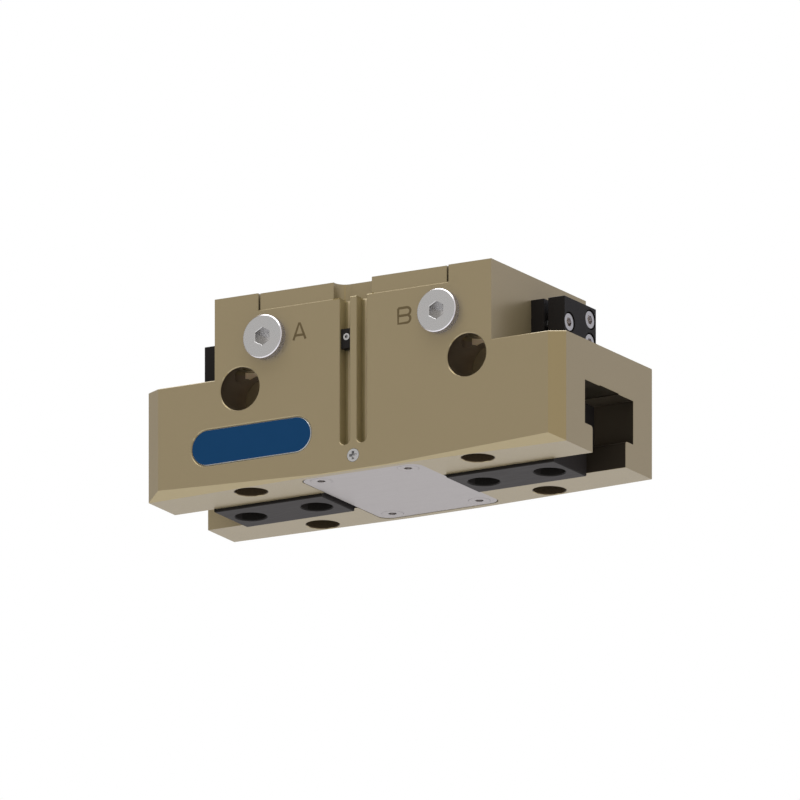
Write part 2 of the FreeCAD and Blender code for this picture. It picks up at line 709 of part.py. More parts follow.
def piston():
    slim = 2 * PISTON_CLEARANCE
    crown = oval(BORE_L - slim, BORE_W - slim, PISTON_Z, PISTON_Z + PISTON_T)
    crown = break_edges(crown, PISTON_CHAMFER, lambda p: p.z < PISTON_Z + PISTON_CHAMFER / 2)
    boss = round_bar(PISTON_BOSS_D, V(0, 0, PISTON_Z + PISTON_T), UP, PISTON_BOSS_H)
    rod = round_bar(ROD_D, V(0, 0, HOOK_TOP_Z), UP, PISTON_Z - HOOK_TOP_Z)
    whole = crown.fuse([boss, rod])
    whole = whole.cut(oval_ring(OVERCUT, -PISTON_BAND_W, PISTON_BAND_Z, PISTON_BAND_Z + PISTON_BAND_H))
    whole = whole.cut(oval_ring(OVERCUT, -PISTON_SEAL_W, PISTON_SEAL_Z, PISTON_SEAL_Z + PISTON_SEAL_H))
    for magnet_hole in magnet_bars(2 * SCREW_GAP):
        whole = whole.cut(magnet_hole)
    return whole.cut(hook_screw_hole()).removeSplitter()


def magnet_bars(extra_d):
    # Magnets sit in the piston's top face, behind the two sensor grooves.
    top = PISTON_Z + PISTON_T
    places = [V(x, MAGNET_Y, top) for x in (-GROOVE_PITCH / 2, GROOVE_PITCH / 2)]
    return [round_bar(MAGNET_D + extra_d, place, DOWN, MAGNET_H) for place in places]


def piston_seal():
    top = PISTON_SEAL_Z + PISTON_SEAL_H
    return oval_ring(-SEAL_CLEARANCE, SEAL_CLEARANCE - PISTON_SEAL_W, PISTON_SEAL_Z, top)


def piston_guide_band():
    top = PISTON_BAND_Z + PISTON_BAND_H
    return oval_ring(-SEAL_CLEARANCE, SEAL_CLEARANCE - PISTON_BAND_W, PISTON_BAND_Z, top)


def hook_flank(z, depth):
    # Place of the hook's slanted flank at a level, moved out by a depth square to the flank.
    return HOOK_BOTTOM_L / 2 + (z - HOOK_Z) + depth * sqrt(2)


def slanted(z0, z1, depth0, depth1, width):
    # Bar beside the hook's flank, between two depths square to it.
    outline = [(hook_flank(z0, depth0), z0), (hook_flank(z0, depth1), z0),
               (hook_flank(z1, depth1), z1), (hook_flank(z1, depth0), z1)]
    return prism_y(outline, width)


def wedge_hook():
    # Wedge with a T-rib on each flank; the ribs pull the jaws as well as push them.
    low = hook_flank(HOOK_Z, 0)
    high = hook_flank(HOOK_TOP_Z, 0)
    outline = [(-low, HOOK_Z), (low, HOOK_Z), (high, HOOK_TOP_Z), (-high, HOOK_TOP_Z)]
    hook = prism_y(outline, SLOT_MOUTH_W - 2 * HOOK_SIDE_GAP)
    stem = slanted(HOOK_Z, HOOK_TOP_Z, 0, RIB_STEM_DEPTH, RIB_STEM_W)
    head_depth = RIB_STEM_DEPTH + RIB_HEAD_DEPTH
    head = slanted(HOOK_Z, HOOK_TOP_Z, RIB_STEM_DEPTH, head_depth, RIB_HEAD_W)
    hook = hook.fuse(both_ends(stem) + both_ends(head)).removeSplitter()
    return hook.cut(hook_screw_hole())


def hook_screw_seat():
    return V(0, 0, HOOK_Z + HOOK_SCREW_SINK + HOOK_SCREW.head_h)


def hook_screw_hole():
    return cap_screw_hole(HOOK_SCREW, hook_screw_seat(), UP, HOOK_SCREW_L)


def wedge_hook_screw():
    return cap_screw(HOOK_SCREW, hook_screw_seat(), UP, HOOK_SCREW_L)


# Base jaws, drawn at the right end

def base_jaw():
    wide = SLOT_WIDE_W - 2 * JAW_CLEARANCE
    narrow = SLOT_MOUTH_W - 2 * JAW_CLEARANCE
    length = JAW_END_X - JAW_TIP_X
    middle = (JAW_END_X + JAW_TIP_X) / 2
    ledge = SLOT_LIP_H + JAW_CLEARANCE
    bar = slab(length, wide, ledge, JAW_TOP_Z, middle)
    neck = slab(length, narrow, PLATE_TOP_Z + HOOK_BOTTOM_GAP, ledge, middle)
    pad = slab(JAW_PAD_L, narrow, -JAW_PROUD, ledge, JAW_PAD_X + JAW_PAD_L / 2)
    pad = break_edges(pad, EDGE_BREAK, lambda p: p.z < -JAW_PROUD / 2)
    jaw = bar.fuse([neck, pad])
    for cut in drive_cuts() + finger_holes() + [cam_space(CAM_GAP), cam_screw_hole()]:
        jaw = jaw.cut(cut)
    return jaw.removeSplitter()


def drive_cuts():
    # Room for the hook: its flank, and a slanted T-groove around its rib.
    gap = JAW_CLEARANCE
    low = -OVERCUT
    high = SLOT_H + OVERCUT
    head_depth = RIB_STEM_DEPTH + RIB_HEAD_DEPTH
    return [
        slanted(low, high, -BODY_L, gap, SLOT_WIDE_W),
        slanted(low, high, 0, RIB_STEM_DEPTH, RIB_STEM_W + 2 * gap),
        slanted(low, high, RIB_STEM_DEPTH - gap, head_depth + gap, RIB_HEAD_W + 2 * gap),
    ]


def finger_holes():
    # Two centring bores with a threaded hole each, for the fingers that the user bolts on.
    tools = []
    for x in (JAW_PAD_X + FINGER_FROM_PAD, JAW_END_X - FINGER_FROM_END):
        face = V(x, 0, -JAW_PROUD)
        tools.append(hole(FINGER_D, face, UP, FINGER_DEPTH, RIM_BREAK))
        tools.append(hole(FINGER_THREAD_D, face, UP, FINGER_THREAD_DEPTH))
    return tools


def cam_space(gap):
    return slab(CAM_L + 2 * gap, CAM_W + 2 * gap, JAW_TOP_Z - CAM_T, JAW_TOP_Z + OVERCUT, CAM_X, SENSOR_Y)


def cam_screw_hole():
    return flat_screw_hole(CAM_SCREW, V(CAM_SCREW_X, SENSOR_Y, JAW_TOP_Z), DOWN, CAM_SCREW_L)


def control_cam():
    cam = slab(CAM_L, CAM_W, JAW_TOP_Z - CAM_T, JAW_TOP_Z, CAM_X, SENSOR_Y)
    return cam.cut(cam_screw_hole())


def control_cam_screw():
    return flat_screw(CAM_SCREW, V(CAM_SCREW_X, SENSOR_Y, JAW_TOP_Z), DOWN, CAM_SCREW_L)


# Sensor brackets, drawn at the right end

def bracket_screw_points(rise):
    y = BRACKET_FRONT_Y + BRACKET_SCREW_FROM_FRONT
    middle = SHOULDER_H + rise + BRACKET_H / 2
    half = BRACKET_SCREW_SPACING / 2
    return [V(HEAD_L / 2, y, middle - half), V(HEAD_L / 2, y, middle + half)]


def clamp_screw_seat(rise):
    # The screw's head is sunk in the outer face of the bracket.
    x = HEAD_L / 2 + BRACKET_L - BRACKET_SCREW_SINK - BRACKET_SCREW.head_h
    y = BRACKET_FRONT_Y + CLAMP_SCREW_FROM_FRONT
    return V(x, y, SHOULDER_H + rise + BRACKET_H / 2)


def clamp_screw_length():
    return BRACKET_L - BRACKET_SCREW_SINK - BRACKET_SCREW.head_h - CLAMP_SCREW_TIP_WALL


def mounting_screw_seats(rise):
    sunk = BRACKET_L - BRACKET_SCREW_SINK - BRACKET_SCREW.head_h
    return [point + RIGHT * sunk for point in bracket_screw_points(rise)]


def mounting_screw_length():
    return BRACKET_L - BRACKET_SCREW_SINK - BRACKET_SCREW.head_h + BRACKET_SCREW_BITE


def sensor_bracket(rise):
    # Split clamp that holds a round sensor upright beside the head.
    bottom = SHOULDER_H + rise
    top = bottom + BRACKET_H
    x = (HEAD_L + BRACKET_L) / 2
    block = slab(BRACKET_L, BRACKET_W, bottom, top, x, BRACKET_FRONT_Y + BRACKET_W / 2)
    outer = HEAD_L / 2 + BRACKET_BREAK
    block = break_edges(block, BRACKET_BREAK, lambda p: p.x > outer)
    slit_l = SENSOR_FROM_FRONT + OVERCUT
    slit_y = BRACKET_FRONT_Y - OVERCUT + slit_l / 2
    block = block.cut(slab(SLIT_W, slit_l, bottom - OVERCUT, top + OVERCUT, SENSOR_X, slit_y))
    block = block.cut(hole(SENSOR_D, V(SENSOR_X, SENSOR_Y, top), DOWN, BRACKET_H + OVERCUT, RIM_BREAK))
    block = block.cut(cap_screw_hole(BRACKET_SCREW, clamp_screw_seat(rise), LEFT, clamp_screw_length()))
    for seat in mounting_screw_seats(rise):
        block = block.cut(cap_screw_hole(BRACKET_SCREW, seat, LEFT, mounting_screw_length()))
    return block


def clamp_screw(rise):
    return cap_screw(BRACKET_SCREW, clamp_screw_seat(rise), LEFT, clamp_screw_length())


def mounting_screws(rise):
    length = mounting_screw_length()
    return [cap_screw(BRACKET_SCREW, seat, LEFT, length) for seat in mounting_screw_seats(rise)]


# Write every piece

os.makedirs("parts", exist_ok=True)
save("housing", housing())
save("cylinder_cover", cylinder_cover())
save("cylinder_cover_screws", *cylinder_cover_screws())
save("cylinder_cover_seal", cylinder_cover_seal())
save("rod_seal", rod_seal())
save("port_plug_a", port_plug(-PORT_X))
save("port_plug_b", port_plug(PORT_X))
save("port_plug_seals", port_plug_seal(-PORT_X), port_plug_seal(PORT_X))
save("purge_plug", purge_plug())
save("sensor_stop", sensor_stop())
save("sensor_stop_screw", sensor_stop_screw())
save("bottom_cover_plate", bottom_cover_plate())
save("bottom_cover_screws", *bottom_cover_screws())
save("name_plate", name_plate())
save("sensor_bracket_right", sensor_bracket(BRACKET_RISE_RIGHT))
save("sensor_bracket_left", turned(sensor_bracket(BRACKET_RISE_LEFT)))
left_screws = [turned(screw) for screw in mounting_screws(BRACKET_RISE_LEFT)]
save("bracket_mounting_screws", *mounting_screws(BRACKET_RISE_RIGHT), *left_screws)
save("bracket_clamp_screws", clamp_screw(BRACKET_RISE_RIGHT), turned(clamp_screw(BRACKET_RISE_LEFT)))
save("piston", piston())
save("piston_seal", piston_seal())
save("piston_guide_band", piston_guide_band())
save("piston_magnets", *magnet_bars(0))
save("wedge_hook", wedge_hook())
save("wedge_hook_screw", wedge_hook_screw())
for side, place in (("right", as_drawn), ("left", turned)):
    save("base_jaw_" + side, place(base_jaw()))
    save("control_cam_" + side, place(control_cam()))
    save("control_cam_screw_" + side, place(control_cam_screw()))
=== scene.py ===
import json
from math import cos, pi, radians, sin

import bpy
from mathutils import Matrix, Vector


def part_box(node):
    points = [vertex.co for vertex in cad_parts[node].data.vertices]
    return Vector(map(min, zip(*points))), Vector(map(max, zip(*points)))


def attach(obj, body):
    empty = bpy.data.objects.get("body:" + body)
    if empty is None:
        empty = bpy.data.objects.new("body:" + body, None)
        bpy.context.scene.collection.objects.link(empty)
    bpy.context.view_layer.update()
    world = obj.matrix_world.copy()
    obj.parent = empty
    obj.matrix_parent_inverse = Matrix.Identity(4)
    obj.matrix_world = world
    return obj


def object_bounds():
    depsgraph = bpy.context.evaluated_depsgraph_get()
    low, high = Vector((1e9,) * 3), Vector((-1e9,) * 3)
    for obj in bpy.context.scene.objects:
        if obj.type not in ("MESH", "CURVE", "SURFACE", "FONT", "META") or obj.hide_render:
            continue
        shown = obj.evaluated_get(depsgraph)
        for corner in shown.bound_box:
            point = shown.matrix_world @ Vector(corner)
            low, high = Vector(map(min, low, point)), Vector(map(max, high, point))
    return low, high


# Pneumatic parallel gripper, seen from the front, a little to the right and from below.
# Metres, in the frame of the solids: X runs along the jaw travel, the front faces -Y
# and the top face is at z = 0.

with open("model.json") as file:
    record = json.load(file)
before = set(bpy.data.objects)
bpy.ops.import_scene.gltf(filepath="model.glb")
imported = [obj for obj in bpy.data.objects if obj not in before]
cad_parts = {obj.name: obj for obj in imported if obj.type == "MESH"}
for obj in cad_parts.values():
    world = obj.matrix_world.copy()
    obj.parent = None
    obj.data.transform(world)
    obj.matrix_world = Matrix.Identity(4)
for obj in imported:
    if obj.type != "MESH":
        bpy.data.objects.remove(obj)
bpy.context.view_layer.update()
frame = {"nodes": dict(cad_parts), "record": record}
nodes = frame["nodes"]

MM = 0.001

# Port letters, cut into the front face beside the two plugs
LETTER_W = 5.2 * MM
LETTER_H = 5.8 * MM
LETTER_STROKE = 0.82 * MM
LETTER_RELIEF = 0.05 * MM
LETTER_Z = -14.3 * MM
LETTER_A_X = -19.35 * MM
LETTER_B_X = 18.55 * MM
LETTER_A_DROP = 0.27 * MM
LETTER_A_TOP = 0.2 * MM
LETTER_A_BAR = 1.23 * MM
STROKE_ROUNDNESS = 3
BOWL_STEPS = 10

# Places in millimetres: the middle of a box, and half its length, width and height
JAW_GUIDE = ((7, 0, -50), (68.4, 15.3, 11.9))
GUIDE_LIPS = ((7, 0, -57.8), (68.4, 10.6, 4.1))
GUIDE_ROOF = ((7, 0, -39.2), (68.4, 6.05, 0.4))
LEFT_GUIDE_END = ((-68.5, 0, -46.1), (7.1, 15.3, 7.3))
GROOVES = ((0, -27.55, -30), (5.1, 2, 26))
GROOVE_LEADS = ((0, -25.9, -5.7), (5.1, 0.3, 0.3))
NOTCH_EDGES = ((0, -29.6, -5.6), (7.4, 0.3, 0.3))
LEFT_GROOVE_FLOOR = ((-2.6, -25.65, -30), (1.6, 0.1, 26))
RIGHT_GROOVE_FLOOR = ((3.5, -25.65, -30), (1.6, 0.1, 26))

# The same for places that repeat left and right, front and back: how far they are
# from the middle planes, and how deep below the top face
MOUNT_POCKETS = ((41, 21.45, 30.05), (7.05, 7.95, 7.05))
POCKET_FLOORS = ((41, 13.75, 30.05), (7.05, 0.1, 7.05))
SEAT_WALLS = ((41, 18.2, 22.9), (5.3, 0.95, 1.0))
ACCESS_BORES = ((41, 22.5, 50), (5.3, 5.3, 11.9))
PLUG_EDGES = ((31.45, 31, 14.9), (7.1, 1.3, 7.1))
PLUG_WALLS = ((31.45, 30.85, 14.9), (7.1, 1.15, 7.1))
PLUG_SOCKETS = ((31.45, 30.2, 14.9), (3.2, 2.12, 3.2))
BRACKET_SCREW_SOCKETS = ((60, 0, 20), (1.7, 30, 20))
BRACKET_SCREW_HEADS = ((63, 0, 20), (1.3, 30, 20))

# Where a colour goes over into another, in millimetres from the middle planes:
# from the pockets' floors to their mouths, and towards the right end of the jaw guide
POCKET_FADE = (15, 29.4)
GUIDE_FADE = (60, 75.5)

# Ways that a surface can face
RIGHT = (1, 0, 0)
LEFT = (-1, 0, 0)
FRONT = (0, -1, 0)
UP = (0, 0, 1)
DOWN = (0, 0, -1)

# How squarely it faces that way: 1 is straight, 0 edge on and -1 straight away.
# A range that takes in one of those ends goes a little past it.
LOWER_BEVELS = (-0.9, -0.34)
CORNER_CUTS = (0.43, 0.55)
PLATE_BEVEL = (-1.01, 0.95)
SQUARE_FACES = (0.9, 1.01)

# Noise: how many finer layers the patches and the grain have, and the values that it mostly
# stays between
PATCH_DETAIL = 3.0
GRAIN_DETAIL = 2.0
NOISE_LOW = 0.3
NOISE_HIGH = 0.7

# The colour sockets of a mix, by their place in the node's lists
MIX_SHARE = 0
MIX_UNDER = 6
MIX_OVER = 7
MIX_RESULT = 2

# Studio
FLOOR_SIZE = 6.0
FLOOR_DROP = 0.4
SOFTBOX_SIZE = 1.2
SOFTBOX_HEIGHT = 0.9
SOFTBOX_POWER = 20.0
WARM_SIDE = (0.3, -0.95, 0)
WARM_FADE = (-0.5, 0.95)
WARM_WHITE = "#fffbf4"
COOL_WHITE = "#edeefc"
PLAIN_WHITE = "#ffffff"

# Camera: parallel view, its angles, and the width that it frames
VIEW_AZIMUTH = radians(29.92)
VIEW_ELEVATION = radians(-15.15)
VIEW_WIDTH = 250.76 * MM
VIEW_DISTANCE = 0.6
AIM_RIGHT = -0.1 * MM
AIM_UP = 28.63 * MM


def colour(code):
    # sRGB hex to the linear values that shaders take.
    parts = [int(code[i:i + 2], 16) / 255 for i in (1, 3, 5)]
    linear = [p / 12.92 if p <= 0.04045 else ((p + 0.055) / 1.055) ** 2.4 for p in parts]
    return (*linear, 1.0)


def add_node(tree, kind, inputs=None, **settings):
    # Adds a node, sets its properties, and gives each input a value or a link.
    node = tree.nodes.new(kind)
    for key, value in settings.items():
        setattr(node, key, value)
    for key, value in (inputs or {}).items():
        if isinstance(value, bpy.types.NodeSocket):
            tree.links.new(value, node.inputs[key])
        else:
            node.inputs[key].default_value = value
    return node


def surface(name, **constants):
    # A material with its shader; constants are set on the shader's own sockets.
    material = bpy.data.materials.new(name)
    material.use_nodes = True
    tree = material.node_tree
    tree.nodes.clear()
    inputs = {key.replace("_", " "): value for key, value in constants.items()}
    shader = add_node(tree, "ShaderNodeBsdfPrincipled", inputs)
    add_node(tree, "ShaderNodeOutputMaterial", {"Surface": shader.outputs["BSDF"]})
    return material, tree, shader


def place_in_mm(tree, stretch=(1, 1, 1)):
    # Object coordinates in millimetres; a stretch above 1 draws a pattern out along that axis.
    point = add_node(tree, "ShaderNodeTexCoord").outputs["Object"]
    scale = [1 / MM / s for s in stretch]
    return add_node(tree, "ShaderNodeMapping", {"Vector": point, "Scale": scale}).outputs["Vector"]


def mirrored_place(tree):
    # Distances from the two upright middle planes and depth below the top face, in millimetres.
    point = place_in_mm(tree)
    away = add_node(tree, "ShaderNodeVectorMath", {0: point}, operation="ABSOLUTE")
    return away.outputs["Vector"]


def inside_box(tree, point, middle, half):
    # 1 where the point is within the box, 0 outside it.
    for operation, other in (("SUBTRACT", middle), ("ABSOLUTE", (0, 0, 0)), ("SUBTRACT", half)):
        step = add_node(tree, "ShaderNodeVectorMath", {0: point, 1: other}, operation=operation)
        point = step.outputs["Vector"]
    past = add_node(tree, "ShaderNodeSeparateXYZ", {"Vector": point}).outputs
    farthest = past["X"]
    for axis in "YZ":
        step = add_node(tree, "ShaderNodeMath", {0: farthest, 1: past[axis]}, operation="MAXIMUM")
        farthest = step.outputs["Value"]
    within = add_node(tree, "ShaderNodeMath", {0: farthest, 1: 0}, operation="LESS_THAN")
    return within.outputs["Value"]


def where_facing(tree, way, limits):
    # 1 where the surface faces that way as squarely as the limits say, 0 elsewhere.
    normal = add_node(tree, "ShaderNodeTexCoord").outputs["Normal"]
    facing = add_node(tree, "ShaderNodeVectorMath", {0: normal, 1: way}, operation="DOT_PRODUCT")
    low, high = limits
    inputs = {0: facing.outputs["Value"], 1: (low + high) / 2, 2: (high - low) / 2}
    return add_node(tree, "ShaderNodeMath", inputs, operation="COMPARE").outputs["Value"]


def lay_over(tree, tone, layers):
    # Lays more colours over a tone, one after another, each by its own share from 0 to 1.
    for share, over in layers:
        inputs = {MIX_SHARE: share, MIX_UNDER: tone, MIX_OVER: over}
        tone = add_node(tree, "ShaderNodeMix", inputs, data_type="RGBA").outputs[MIX_RESULT]
    return tone


def place_layers(tree, point, places):
    # A layer for each place: it covers the inside of the box with its own colour.
    return [(inside_box(tree, point, *place), colour(code)) for place, code in places]


def fade(tree, point, axis, span, codes):
    # A colour that goes from the first code to the second along an axis.
    distance = add_node(tree, "ShaderNodeSeparateXYZ", {"Vector": point}).outputs[axis]
    ends = {"Value": distance, "From Min": span[0], "From Max": span[1]}
    share = add_node(tree, "ShaderNodeMapRange", ends).outputs["Result"]
    return lay_over(tree, colour(codes[0]), [(share, colour(codes[1]))])


def mottle(tree, shader, point, patch, tones, layers=()):
    # Base colour that drifts between two close tones over patches of about the given size in
    # millimetres, with the layers over it.
    inputs = {"Vector": point, "Scale": 1 / patch, "Detail": PATCH_DETAIL}
    noise = add_node(tree, "ShaderNodeTexNoise", inputs)
    drift = (noise.outputs["Fac"], colour(tones[1]))
    tone = lay_over(tree, colour(tones[0]), [drift, *layers])
    tree.links.new(tone, shader.inputs["Base Color"])


def grain(tree, shader, point, grit, rough, depth):
    # Fine grain, its grit and depth in millimetres: it varies the roughness between two values
    # and lifts a shallow bump.
    inputs = {"Vector": point, "Scale": 1 / grit, "Detail": GRAIN_DETAIL}
    height = add_node(tree, "ShaderNodeTexNoise", inputs).outputs["Fac"]
    ends = {"Value": height, "From Min": NOISE_LOW, "From Max": NOISE_HIGH,
            "To Min": rough[0], "To Max": rough[1]}
    spread = add_node(tree, "ShaderNodeMapRange", ends)
    bump = add_node(tree, "ShaderNodeBump", {"Height": height, "Distance": depth * MM})
    tree.links.new(spread.outputs["Result"], shader.inputs["Roughness"])
    tree.links.new(bump.outputs["Normal"], shader.inputs["Normal"])


def hard_anodised_aluminium():
    # Bead-blasted aluminium under a hard oxide layer: an even olive tan, half matt and half
    # metal sheen. The marks of the beads, about 0.1 mm, are drawn at 0.5 mm so that they show.
    # The lower bevels, the front grooves and bands of the groove floors are painted lighter as
    # painted light, with a painted highlight at the top of each groove floor; the corner cuts that
    # face right are painted yellower for the light on that side, and the notch's edge is painted
    # darker as painted shade. The mounting pockets carry painted shade, darker towards their
    # mouths and on their floors and access bores, with a painted patch of light on the walls
    # behind the screw seats. The jaw guide carries painted shade: deep brown, darker towards its
    # ends and darkest on its lips and roof.
    material, tree, shader = surface(
        "hard_anodised_aluminium", Metallic=0.5, Specular_IOR_Level=0.2)
    place = place_in_mm(tree)
    mirrored = mirrored_place(tree)
    # Painted shade in the mounting pockets: lighter deep inside, darker towards their mouths.
    pocket_painted_shade = fade(tree, mirrored, "Y", POCKET_FADE, ("#9e8e7a", "#493e30"))
    # Painted shade in the jaw guide: deep brown, darker towards its right end.
    guide_painted_shade = fade(tree, place, "X", GUIDE_FADE, ("#5e5547", "#39332a"))
    layers = [
        # Painted light: the lower bevels are painted lighter.
        (where_facing(tree, UP, LOWER_BEVELS), colour("#988c6f")),
        # Painted light: the corner cuts that face right are painted yellower.
        (where_facing(tree, RIGHT, CORNER_CUTS), colour("#897b5b")),
        (inside_box(tree, mirrored, *MOUNT_POCKETS), pocket_painted_shade),
        (inside_box(tree, place, *JAW_GUIDE), guide_painted_shade),
        # Painted shade on the access bores and pocket floors, and a painted patch of light on the
        # walls behind the screw seats.
        *place_layers(tree, mirrored, (
            (ACCESS_BORES, "#4a3e2e"), (POCKET_FLOORS, "#82755b"), (SEAT_WALLS, "#fae2bd"),
        )),
        # Painted light on the grooves and bands of their floors, painted highlights at the groove
        # tops, painted shade on the notch's edge and on the jaw guide's lips, roof and left end.
        *place_layers(tree, place, (
            (GROOVES, "#938765"), (GROOVE_LEADS, "#b8ab81"), (NOTCH_EDGES, "#6c5e38"),
            (LEFT_GROOVE_FLOOR, "#bfb193"), (RIGHT_GROOVE_FLOOR, "#bfb193"),
            (GUIDE_LIPS, "#352f27"), (GUIDE_ROOF, "#342f26"), (LEFT_GUIDE_END, "#39332a"),
        )),
    ]
    mottle(tree, shader, place, patch=22, tones=("#867a5f", "#887c61"), layers=layers)
    grain(tree, shader, place, grit=0.5, rough=(0.3, 0.36), depth=0.004)
    return material


def stainless_steel():
    # Cold-rolled stainless steel: pale grey, with faint rolling lines along its length.
    # The lines lie closer than 0.1 mm and are drawn at 0.5 mm so that they show.
    material, tree, shader = surface("stainless_steel", Metallic=1.0)
    bands = place_in_mm(tree, stretch=(12, 1, 1))
    lines = place_in_mm(tree, stretch=(20, 1, 1))
    mottle(tree, shader, bands, patch=1.5, tones=("#96918f", "#989391"))
    grain(tree, shader, lines, grit=0.5, rough=(0.36, 0.4), depth=0.0015)
    return material


def zinc_plated_steel():
    # Bright zinc over turned steel: light grey with a faint warm and cool clouding.
    # The plugs' edges carry a painted highlight and their flange walls are painted bluish as a
    # painted reflection; the key sockets of plugs and bracket screws are painted lighter as
    # painted light, and the bracket screw heads a warmer grey to offset the cool light they
    # reflect.
    # The crystals of the plating, under 0.1 mm, are drawn at 0.35 mm so that they show.
    material, tree, shader = surface("zinc_plated_steel", Metallic=1.0)
    place = place_in_mm(tree)
    # Painted light: highlights on the plug edges, a bluish painted reflection on the flange walls,
    # lighter key sockets and warmer screw heads.
    painted_light_layers = place_layers(tree, mirrored_place(tree), (
        (PLUG_EDGES, "#cecbd0"), (PLUG_WALLS, "#c6cae6"), (PLUG_SOCKETS, "#bab9b9"),
        (BRACKET_SCREW_SOCKETS, "#bab6b6"), (BRACKET_SCREW_HEADS, "#a6a39f"),
    ))
    mottle(tree, shader, place, patch=3, tones=("#aaacad", "#aeacac"), layers=painted_light_layers)
    grain(tree, shader, place, grit=0.35, rough=(0.2, 0.3), depth=0.001)
    return material


def blue_label():
    # Matt blue print on a thin aluminium plate: a deep even blue, with bare metal on the bevel
    # round it. The grain of the ink, about 0.1 mm, is drawn at 0.4 mm so that it shows.
    material, tree, shader = surface("blue_label", Specular_IOR_Level=0.03)
    place = place_in_mm(tree)
    bare = where_facing(tree, FRONT, PLATE_BEVEL)
    bevel = [(bare, colour("#a8aaaa"))]
    mottle(tree, shader, place, patch=8, tones=("#0f3456", "#113659"), layers=bevel)
    tree.links.new(bare, shader.inputs["Metallic"])
    grain(tree, shader, place, grit=0.4, rough=(0.32, 0.4), depth=0.002)
    return material


def black_anodised_aluminium():
    # Black dyed anodising on a milled block: near black with a dull satin face.
    # The etched grain, about 0.1 mm, is drawn at 0.4 mm so that it shows.
    material, tree, shader = surface("black_anodised_aluminium", Specular_IOR_Level=0.055)
    place = place_in_mm(tree)
    mottle(tree, shader, place, patch=5, tones=("#1b1918", "#1f1d1c"))
    grain(tree, shader, place, grit=0.4, rough=(0.38, 0.46), depth=0.004)
    return material


def black_hardened_steel():
    # Blackened tool steel with fine grinding lines along the travel: near black.
    # The pads below, where fingers seat, are ground after blackening and look dark grey; the ends
    # are painted dark grey too, as painted light against their deep shade. The lines, about 0.1 mm
    # apart, are drawn at 0.45 mm so that they show.
    material, tree, shader = surface("black_hardened_steel", Specular_IOR_Level=0.08)
    bands = place_in_mm(tree, stretch=(14, 1, 1))
    lines = place_in_mm(tree, stretch=(24, 1, 1))
    # The downward faces are ground; the faces towards left and right are painted lighter as
    # painted light.
    ground_and_painted_light = [
        (where_facing(tree, way, SQUARE_FACES), colour(code))
        for way, code in ((DOWN, "#2d2a29"), (RIGHT, "#282524"), (LEFT, "#282524"))
    ]
    mottle(tree, shader, bands, patch=0.8, tones=("#181614", "#1c1a18"), layers=ground_and_painted_light)
    grain(tree, shader, lines, grit=0.45, rough=(0.5, 0.6), depth=0.003)
    return material


def ground_steel():
    # Bare surface-ground steel: mid grey with close straight grinding lines.
    # The lines, about 0.1 mm apart, are drawn at 0.4 mm so that they show.
    material, tree, shader = surface("ground_steel", Metallic=1.0)
    bands = place_in_mm(tree, stretch=(1, 16, 1))
    lines = place_in_mm(tree, stretch=(1, 24, 1))
    mottle(tree, shader, bands, patch=0.9, tones=("#83837f", "#8e8e8b"))
    grain(tree, shader, lines, grit=0.4, rough=(0.22, 0.34), depth=0.004)
    return material


def turned_aluminium():
    # Bare turned aluminium: pale, with fine tool marks around the axis, 0.12 mm apart.
    material, tree, shader = surface("turned_aluminium", Metallic=1.0)
    bands = place_in_mm(tree, stretch=(1, 1, 0.5))
    marks = place_in_mm(tree, stretch=(6, 6, 0.4))
    mottle(tree, shader, bands, patch=2.5, tones=("#b4b5b6", "#bdbebf"))
    grain(tree, shader, marks, grit=0.3, rough=(0.26, 0.36), depth=0.004)
    return material


def seal_rubber():
    # Moulded nitrile rubber: black and matt, with a dusty bloom.
    # The mould's texture, about 0.1 mm, is drawn at 0.3 mm so that it shows.
    material, tree, shader = surface("seal_rubber", Specular_IOR_Level=0.3)
    place = place_in_mm(tree)
    mottle(tree, shader, place, patch=2, tones=("#161616", "#1e1e1d"))
    grain(tree, shader, place, grit=0.3, rough=(0.55, 0.7), depth=0.006)
    return material


def guide_plastic():
    # Filled low-friction plastic band: brown and waxy, with specks of filler.
    # The specks, about 0.1 mm, are drawn at 0.4 mm so that they show.
    material, tree, shader = surface("guide_plastic", Specular_IOR_Level=0.4)
    place = place_in_mm(tree)
    mottle(tree, shader, place, patch=1.2, tones=("#4a3423", "#58402c"))
    grain(tree, shader, place, grit=0.4, rough=(0.42, 0.52), depth=0.004)
    return material


def engraved_line():
    # Cutter marks in the oxide layer: the same metal, darker because it lies rough and low.
    # The marks, about 0.05 mm apart, are drawn at 0.25 mm so that they show.
    material, tree, shader = surface("engraved_line", Metallic=0.6)
    place = place_in_mm(tree)
    mottle(tree, shader, place, patch=0.6, tones=("#54472c", "#5b4e33"))
    grain(tree, shader, place, grit=0.25, rough=(0.5, 0.6), depth=0.004)
    return material


def studio_paper():
    # Seamless paper: pale and matt, with a barely seen tooth.
    # The tooth, about 0.3 mm, is drawn at 1.5 mm so that it shows.
    material, tree, shader = surface("studio_paper", Specular_IOR_Level=0.2)
    place = place_in_mm(tree)
    mottle(tree, shader, place, patch=30, tones=("#e9e9e7", "#ececea"))
    grain(tree, shader, place, grit=1.5, rough=(0.7, 0.8), depth=0.02)
    return material


FINISHES = (
    hard_anodised_aluminium, stainless_steel, zinc_plated_steel, blue_label,
    black_anodised_aluminium, black_hardened_steel, ground_steel, turned_aluminium,
    seal_rubber, guide_plastic,
)


def dress_solids():
    # Each solid takes the finish of the slot that the record gives it.
    finishes = {make.__name__: make() for make in FINISHES}
    for subpart in frame["record"]["subparts"]:
        mesh = nodes[subpart["node"]].data
        mesh.materials.clear()
        mesh.materials.append(finishes[subpart["material_slot"]])


